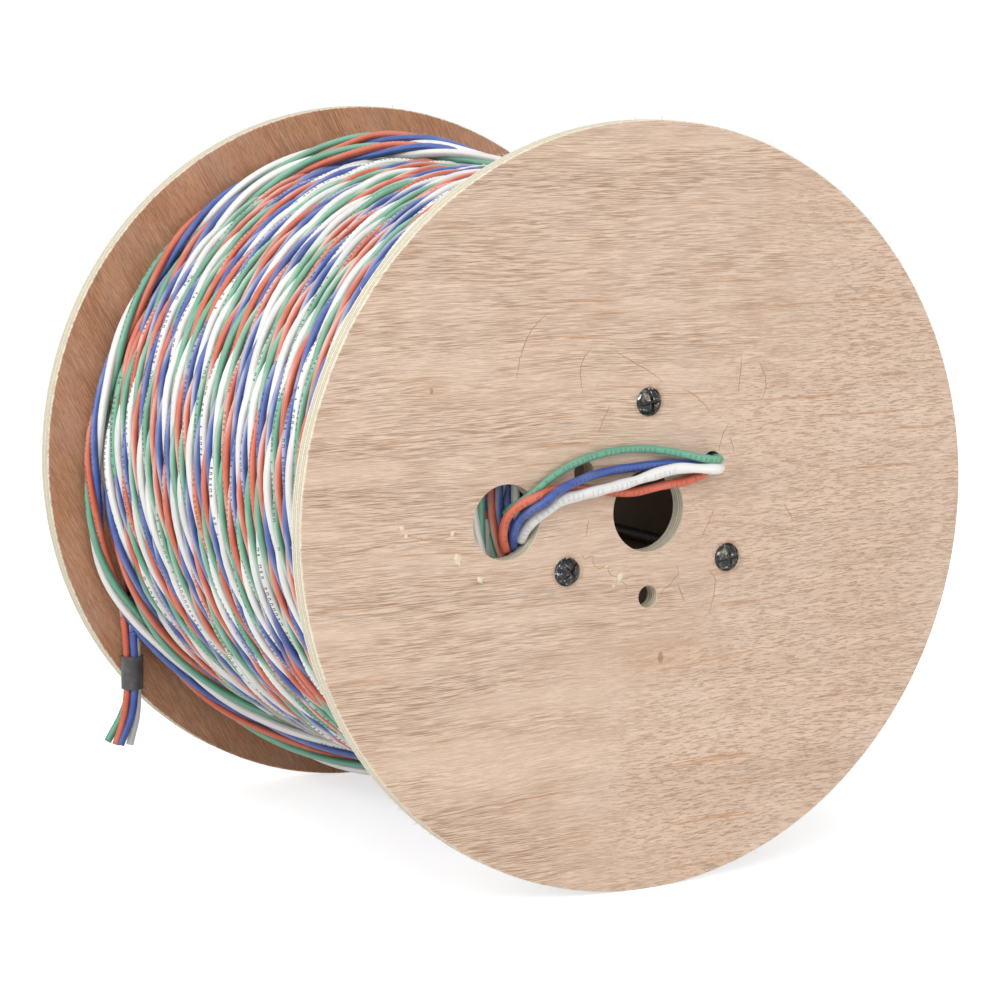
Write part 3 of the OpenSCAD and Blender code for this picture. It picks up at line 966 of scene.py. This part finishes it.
class DRUM_OT_wear(bpy.types.Operator):
    """Scratch the front face and tear up a few fibres on it and on the rims"""

    bl_idname = "cable_drum.wear"
    bl_label = "Scratches and torn fibres"

    def execute(self, context):
        """Thin ribbons on the face, and short curling fibres."""
        torn = fibre_material("torn_wood", (0.90, 0.77, 0.57))
        curled = fibre_material("curled_wood", (0.66, 0.41, 0.24))
        scratched = fibre_material("scratched_wood", (0.50, 0.27, 0.14))
        rim = fibre_material("rim_fibre", context.scene.cable_drum.colours.ply_edge)
        for piece, material in (
            (add_ribbons("face_scratches", self.on_face(SCRATCHES), 0.00018), scratched),
            (add_ribbons("fibre_curls", self.on_face(CURLS), 0.00032), curled),
            (self.flakes(), torn),
            (add_ribbons("rim_fibres", self.fibres(), 0.00014), rim),
        ):
            settle(piece, material, "plywood_front")
        return {"FINISHED"}

    def on_face(self, routes):
        """Lines just proud of the front face, a little shaky, and their facing."""
        rng = np.random.default_rng(5)
        runs = []
        for route in routes:
            flat = smooth_route(np.array([(x, -147.03, z) for x, z in route]) * MM, ROUTE_STEP)
            flat[:, [0, 2]] += 0.00022 * rng.normal(size=(len(flat), 2))
            runs.append((flat, np.tile([0.0, -1.0, 0.0], (len(flat), 1))))
        return runs

    def flakes(self):
        """Ragged lifted flakes. At angle a the edge is at (1 + 0.2 * noise) times the half
        width and half height, and the middle stands 0.5 mm proud."""
        rng = np.random.default_rng(7)
        points, faces = [], []
        a = np.arange(18) * TURN / 18
        for x, z, wide, high, turn in FLAKES:
            start = sum(len(p) for p in points)
            rows = [np.array([[x, -147.5, z]])]
            for share, lift in ((0.5, 0.42), (0.85, 0.24), (1.0, 0.02)):
                ragged = share * (1 + 0.2 * rng.normal(size=18))
                u = wide * ragged * np.cos(a)
                v = high * ragged * np.sin(a)
                rows.append(np.stack([
                    x + u * math.cos(turn) - v * math.sin(turn), np.full(18, -147.0 - lift),
                    z + u * math.sin(turn) + v * math.cos(turn),
                ], axis=1))
            points.append(np.concatenate(rows))
            for k in range(18):
                n = (k + 1) % 18
                faces.append((start, start + 1 + k, start + 1 + n))
                faces += [(start + row + k, start + row + 18 + k, start + row + 18 + n,
                           start + row + n) for row in (1, 19)]
        return add_mesh("flakes", np.concatenate(points) * MM, faces)

    def fibres(self):
        """Short torn fibres along the rims, most of them at the left: each runs off in its own
        direction and lifts as the square of the way along it."""
        rng = np.random.default_rng(11)
        runs = []
        t = np.linspace(0, 1, 9)
        places = np.concatenate([rng.uniform(165, 186, 34), rng.uniform(140, 158, 20),
                                 rng.uniform(0, 360, 90)])
        for a in np.radians(places):
            y = rng.choice([-0.1471, -0.1385, 0.1381])
            sign = -1 if y < 0 else 1
            bend = a + rng.normal(0, 1.0) + rng.normal(0, 1.6) * t
            step = rng.uniform(0.13, 0.38) * MM
            px = 0.1775 * math.cos(a) + np.cumsum(np.cos(bend)) * step
            pz = 0.1775 * math.sin(a) + np.cumsum(np.sin(bend)) * step
            py = y + sign * rng.uniform(0.05, 0.5) * MM * t**2
            path = np.stack([px, py, pz], axis=1)
            path[:, [0, 2]] *= np.minimum(1, FIBRE_REACH / np.hypot(px, pz))[:, None]
            runs.append((path, np.tile([0.0, float(sign), 0.0], (9, 1))))
        return runs


class DRUM_OT_fixings(bpy.types.Operator):
    """Finish the screws, tee nuts and fibre barrel"""

    bl_idname = "cable_drum.fixings"
    bl_label = "Screws, nuts and barrel"

    def execute(self, context):
        """Dark zinc screws, brighter nuts, brown board."""
        screw = glinting_material()
        nut = metal_material("bright_zinc", (0.42, 0.42, 0.40), 0.34, 110.0)
        # Rougher zinc without glints for the grooves and the shank: painted shade in the grooves
        shade_zinc = metal_material("black_zinc", (0.05, 0.043, 0.038), 0.5, 60.0)
        for place, (x, z, turn) in SCREWS.items():
            piece = self.add_screw(place, x * MM, z * MM, math.radians(turn))
            piece.data.materials.append(screw)
            piece.data.materials.append(shade_zinc)
            settle(piece, screw, "screw_steel", "screw_" + place)
            dress(NODES["tee_nut_" + place], nut)
        dress(NODES["barrel"], board_material())
        return {"FINISHED"}

    def add_screw(self, place, x, z, turn):
        """Long screw with a domed head. The head's height at radius r is that of a sphere of
        7.67 mm, less the grooves: a slot right across it, a cross recess of nearly the same
        length, and a pit where they meet, all with soft edges. Faces in the grooves and on the
        shank take the second material, a rougher zinc without glints, as painted shade in the
        grooves."""
        sides = 200
        a = np.arange(sides) * TURN / sides
        rr, aa = np.meshgrid(np.linspace(0.02, 6.5, 46) * MM, a, indexing="ij")
        dome = np.maximum(np.sqrt(0.007668**2 - rr**2) - 0.004068, 0.0004)
        u = np.abs(rr * np.cos(aa - turn))
        v = np.abs(rr * np.sin(aa - turn))
        edge = 0.00028
        slot = within(0.00088, v, edge)
        cross = within(0.00092, u, edge) * within(0.0056, v, 0.0012)
        pit = within(0.0024, rr, 0.0016)
        depth = np.maximum(0.00125 * slot, 0.0013 * cross)
        depth = np.maximum(depth, (0.0013 + 0.0009 * pit) * np.maximum(slot, cross))
        depth *= np.clip((0.0066 - rr) / 0.0006, 0.3, 1)
        head_y = -0.1463 - dome + np.minimum(depth, dome - 0.0002)
        shank = [(6.5, -146.3), (3.0, -146.28), (3.0, 140.0)]
        shank += [(2.95 - 0.35 * (k % 2), 140.2 + 0.5 * k) for k in range(11)]
        shank += [(2.4, 146.1), (0.02, 146.2)]
        radius, y = np.array(shank).T[:, :, None] * MM
        grid = np.concatenate([turned(rr, head_y, aa, x, z), turned(radius, y, a, x, z)])
        quads = grid_faces(len(grid), sides)[:, ::-1]
        piece = add_mesh("screw_body_" + place, grid, quads.tolist())
        sunk = np.concatenate([depth > 0.0005, np.ones((len(shank), sides), bool)])
        dark = sunk.ravel()[quads].sum(axis=1) > 2
        piece.data.polygons.foreach_set("material_index", dark.astype(np.int32))
        return piece


class DRUM_OT_winding(bpy.types.Operator):
    """Wind the outer layer and the end rows, each conductor as one mesh"""

    bl_idname = "cable_drum.winding"
    bl_label = "Winding"

    def execute(self, context):
        """The four conductors first, then the core."""
        drum = context.scene.cable_drum
        sizes = drum.sizes
        # Painted shade 0.36 on the inner sides, painted highlight 0.58 on the outer sides
        paints = conductor_materials(drum.colours, "wound", 0.36, 0.58, 0.9)
        path, outward = outer_layer(sizes)
        s = distance_along(path)
        # The twist falls by a turn for each lay and wanders by a third of a turn. At the end red
        # is outside, green at the back, white inside and blue at the front.
        phase = 2.0 * wander(s, 1.3, 21) - TURN * s / sizes.lay
        outer = twisted(path, outward, phase - phase[-1], sizes, 1)
        rows = []
        for side in (-1, 1):
            for j, (ring, out, turn) in enumerate(end_rows(sizes, side)):
                rows.append((out, twisted(ring, out, turn, sizes, 40 + j)))
        for n, name in enumerate(CONDUCTORS):
            runs = [tail_run(outer[n], outward, name)] + [(lines[n], o) for o, lines in rows]
            piece = add_tubes("winding_" + name, runs, width_of(sizes, name) / 2, 10)
            settle(piece, paints[name], "insulation_" + name, "cable_winding")
        self.add_core(drum)
        return {"FINISHED"}

    def add_core(self, drum):
        """Turned body under the outer layer. Its radius rises and falls from turn to
        turn: radius = 142.6 mm + 1.2 mm * |sin(pi * y / 9.5 mm)|."""
        end, bore, sides = 0.1335, 0.0606, 160
        y = np.linspace(-end, end, 225)
        r = 0.1426 + 0.0012 * np.abs(np.sin(math.pi * y / 0.0095))
        y = np.concatenate([[-end], y, [end, 0.0, -end]])
        r = np.concatenate([[bore], r, [bore, bore, bore]])
        angle = np.arange(sides) * TURN / sides
        grid = turned(r[:, None], y[:, None], angle)
        piece = add_mesh("under_layer", grid, grid_faces(len(y), sides)[:, ::-1].tolist())
        settle(piece, under_layer_material(drum.colours), "cable_insulation", "cable_winding")


class DRUM_OT_outer_turn(bpy.types.Operator):
    """Lay the loose outer turns over the winding"""

    bl_idname = "cable_drum.outer_turn"
    bl_label = "Loose turns"

    def execute(self, context):
        """Three bundles of four, each along its own table."""
        drum = context.scene.cable_drum
        # Painted shade 0.35 on the inner sides, painted highlight 0.2 on the outer sides
        paints = conductor_materials(drum.colours, "loose", 0.35, 0.2, 0.9)
        turns = []
        for table, seed, ahead in LOOSE:
            path, outward, phase = loose_turn(table, ahead)
            turns.append((outward, twisted(path, outward, phase, drum.sizes, seed)))
        for n, name in enumerate(CONDUCTORS):
            runs = [(lines[n], outward) for outward, lines in turns]
            piece = add_tubes("turn_" + name, runs, width_of(drum.sizes, name) / 2, 12)
            settle(piece, paints[name], "insulation_" + name, "outer_turn")
        return {"FINISHED"}


class DRUM_OT_ends(bpy.types.Operator):
    """Run the inner and outer ends of the four conductors, and tape the outer ones"""

    bl_idname = "cable_drum.ends"
    bl_label = "Cable ends"

    def execute(self, context):
        """Each end is a cord along its route."""
        drum = context.scene.cable_drum
        # Painted shade 0.15 on the inner sides, and no painted highlight
        paints = conductor_materials(drum.colours, "end", 0.15, 0.0, 0.5)
        dress(NODES["tape_band"], tape_material())
        for name, route in TAIL_ROUTES.items():
            extra = [NODES["tape_band"]] if name == "red" else []
            self.add_end("tail_" + name, route, paints[name], (3.9, 0.02), (-1, 0, 0),
                         "bare", "hanging", extra)
        for name, route in LEAD_ROUTES.items():
            self.add_end("lead_" + name, route, paints[name], LEAD_WIDTHS[name],
                         (0, -1, 0.2), "object", "loose", [])
        return {"FINISHED"}

    def add_end(self, name, route, paint, width, outward, far_end, lay, extra):
        """Round cord through a route's points. Its radius is half its width times 1 + lumps *
        a number that wanders between -1 and 1."""
        path = smooth_route(np.array(route) * MM, ROUTE_STEP)
        out = np.tile(np.array(outward, float), (len(path), 1))
        wide = width[0] * MM
        radius = wide / 2 * (1 + width[1] * wander(distance_along(path), 0.016, 8))
        piece = add_tubes(name + "_cord", [(path, out)], radius, 16)
        settle(piece, paint, "insulation_" + name.split("_")[1], name)


class DRUM_OT_stage(bpy.types.Operator):
    """Set the floor, background, lamps and camera"""

    bl_idname = "cable_drum.stage"
    bl_label = "Stage"

    def execute(self, context):
        """Pale floor, white background, four soft lamps, a faint one inside, and the camera."""
        stage = context.scene.cable_drum.stage
        self.add_floor()
        self.set_world(context.scene)
        for name, place, size in LAMPS:
            self.add_lamp(name + "_lamp", place, size, getattr(stage, name))
        inside = bpy.data.lights.new("inside_lamp", "POINT")
        inside.energy = 0.016
        inside.shadow_soft_size = 0.03
        self.add_object(inside, (0.0, 0.03, 0.0))
        data = bpy.data.cameras.new("camera")
        data.sensor_width = 36.0
        data.lens = stage.lens
        data.clip_start = 0.05
        data.clip_end = 30.0
        camera = self.add_object(data, stage.eye, stage.target)
        context.scene.camera = camera
        context.scene.view_settings.view_transform = "Standard"
        return {"FINISHED"}

    def add_object(self, data, place, target=None):
        """Lamp or camera at a place, turned towards a target if there is one."""
        thing = bpy.data.objects.new(data.name, data)
        bpy.context.scene.collection.objects.link(thing)
        thing.location = place
        if target is not None:
            look = Vector(target) - Vector(place)
            thing.rotation_euler = look.to_track_quat("-Z", "Y").to_euler()
        return thing

    def add_lamp(self, name, place, size, energy):
        """Square soft lamp that faces the drum."""
        data = bpy.data.lights.new(name, "AREA")
        data.shape = "SQUARE"
        data.size = size
        data.energy = energy
        self.add_object(data, place, (0, 0, 0))

    def seen(self, tree):
        """1 for rays from the camera, mirrors and glass, 0 for the light that falls on things."""
        rays = put(tree, "LightPath").outputs
        seen = Signal(rays["Is Camera Ray"])
        for kind in ("Is Glossy Ray", "Is Transmission Ray"):
            seen = seen.math("MAXIMUM", Signal(rays[kind]))
        return seen

    def add_floor(self):
        """Level sheet under the drum. The camera sees it white, less the drum's shadow."""
        low = CAD_BOX[0].z
        corners = np.array([(-9, -9, low), (9, -9, low), (9, 9, low), (-9, 9, low)], float)
        floor = add_mesh("floor", corners, [(0, 1, 2, 3)], smooth=False)
        material, shader, _ = new_material("floor_paint")
        finish(shader, (0.86, 0.86, 0.86), 0.9, more={
            "Emission Color": (1, 1, 1), "Emission Strength": self.seen(shader.id_data) * 0.62,
        })
        dress(floor, material)

    def set_world(self, scene):
        """White where it is seen, and an even soft light elsewhere."""
        world = bpy.data.worlds.new("studio")
        world.use_nodes = True
        tree = world.node_tree
        tree.nodes.clear()
        strength = self.seen(tree) * 0.62 + 0.38
        back = put(tree, "Background", {"Color": (1, 1, 1), "Strength": strength})
        put(tree, "OutputWorld", {0: Signal(back.outputs[0])})
        scene.world = world


class DRUM_PT_panel(bpy.types.Panel):
    """Lists the settings and steps of the cable drum"""

    bl_idname = "DRUM_PT_panel"
    bl_label = "Cable drum"
    bl_space_type = "VIEW_3D"
    bl_region_type = "UI"
    bl_category = "Cable drum"

    def draw(self, context):
        """Settings first, then one button for each step."""
        drum = context.scene.cable_drum
        for group in (drum.sizes, drum.colours, drum.stage):
            box = self.layout.box()
            for key in group.__annotations__:
                box.prop(group, key)
        for step in STEPS:
            self.layout.operator(step.bl_idname)


STEPS = (
    DRUM_OT_flanges, DRUM_OT_wear, DRUM_OT_fixings, DRUM_OT_winding, DRUM_OT_outer_turn,
    DRUM_OT_ends, DRUM_OT_stage,
)
CLASSES = (DrumSizes, DrumColours, StageSettings, CableDrum, *STEPS, DRUM_PT_panel)


def register():
    """Adds the classes and the scene's settings."""
    for cls in CLASSES:
        bpy.utils.register_class(cls)
    bpy.types.Scene.cable_drum = PointerProperty(type=CableDrum)


def unregister():
    """Takes away the settings and the classes."""
    del bpy.types.Scene.cable_drum
    for cls in reversed(CLASSES):
        bpy.utils.unregister_class(cls)


def main():
    """Runs every step in order."""
    register()
    bpy.ops.cable_drum.flanges()
    bpy.ops.cable_drum.wear()
    bpy.ops.cable_drum.fixings()
    bpy.ops.cable_drum.winding()
    bpy.ops.cable_drum.outer_turn()
    bpy.ops.cable_drum.ends()
    bpy.ops.cable_drum.stage()


if __name__ == "__main__":
    main()
